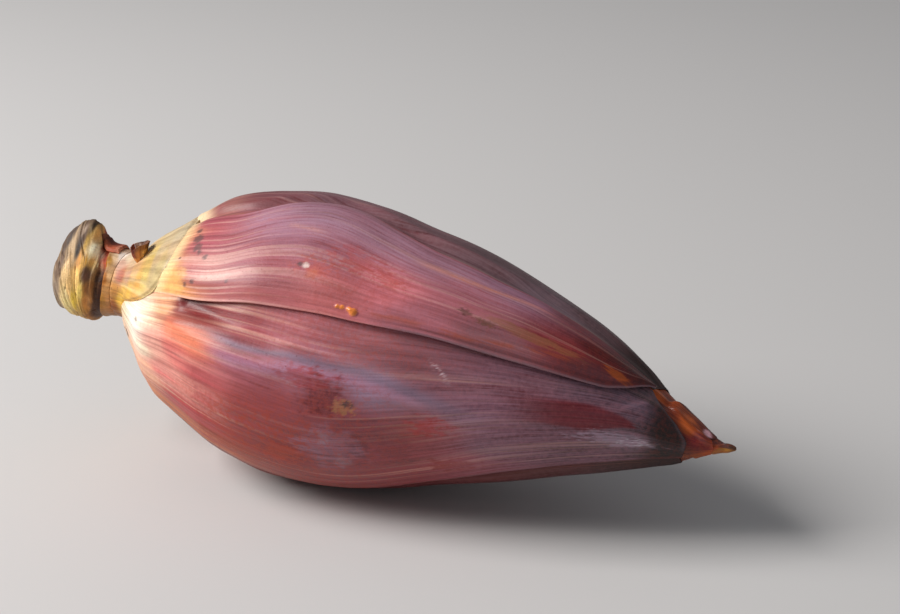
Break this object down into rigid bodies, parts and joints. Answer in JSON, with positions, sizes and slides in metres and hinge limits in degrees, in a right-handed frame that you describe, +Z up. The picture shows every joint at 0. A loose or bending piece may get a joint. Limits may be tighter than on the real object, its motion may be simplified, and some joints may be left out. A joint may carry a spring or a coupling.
{
  "type": "banana blossom",
  "caption": "Pointed banana blossom with overlapping waxy red bracts and a short cut stalk, lying on its side.",
  "frame": {"origin": "under the middle of the blossom's box, on the surface that it lies on", "axes": "+X from the cut stalk towards the tip, +Z up, -Y out of the side where the upper bract's margin crosses the belly"},
  "size_m": [0.288, 0.1134, 0.1131],
  "materials": {
    "bract_rose": "satin, waxy",
    "bract_dark": "satin, waxy",
    "bract_tip": "satin",
    "stalk": "rough, fibrous",
    "dry_bract": "dry, matte",
    "bud": "satin"
  },
  "bodies": {
    "root": {"stalk": "stalk", "torn_bract_stub_top": "dry_bract", "torn_bract_stub_under": "dry_bract", "dried_bract_flap": "dry_bract", "upper_front_bract": "bract_rose", "lower_front_bract": "bract_rose", "top_bract": "bract_dark", "back_bract": "bract_dark", "underside_bract": "bract_dark", "tip_bract_front": "bract_tip", "tip_bract_back": "bract_tip", "inner_bud": "bud"}
  },
  "joints": []
}
